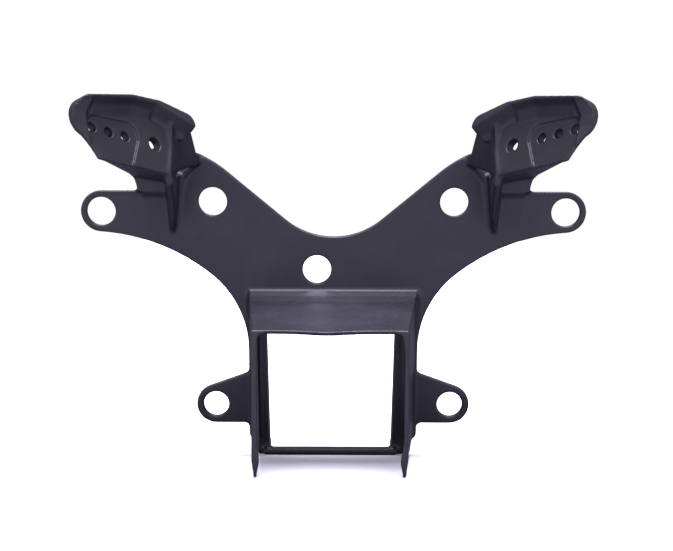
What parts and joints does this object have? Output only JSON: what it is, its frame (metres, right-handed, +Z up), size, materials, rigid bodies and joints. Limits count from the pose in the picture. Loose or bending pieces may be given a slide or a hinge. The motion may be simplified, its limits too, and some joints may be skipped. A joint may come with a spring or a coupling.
{
  "type": "motorcycle fairing stay",
  "caption": "Cast motorcycle fairing stay: V plate with grommet ears, two raised mirror pads and a square air duct box with two feet, in satin black.",
  "frame": {"origin": "on the ground line, at the foot of the V plate's front face, in the middle of the V", "axes": "+X runs across the stay, -Y points to the rider's side that the picture shows, +Z is up"},
  "size_m": [0.3614, 0.1677, 0.2521],
  "materials": {
    "satin_black": "satin black paint over cast aluminium"
  },
  "bodies": {
    "root": {"stay_casting": "satin_black"}
  },
  "joints": []
}
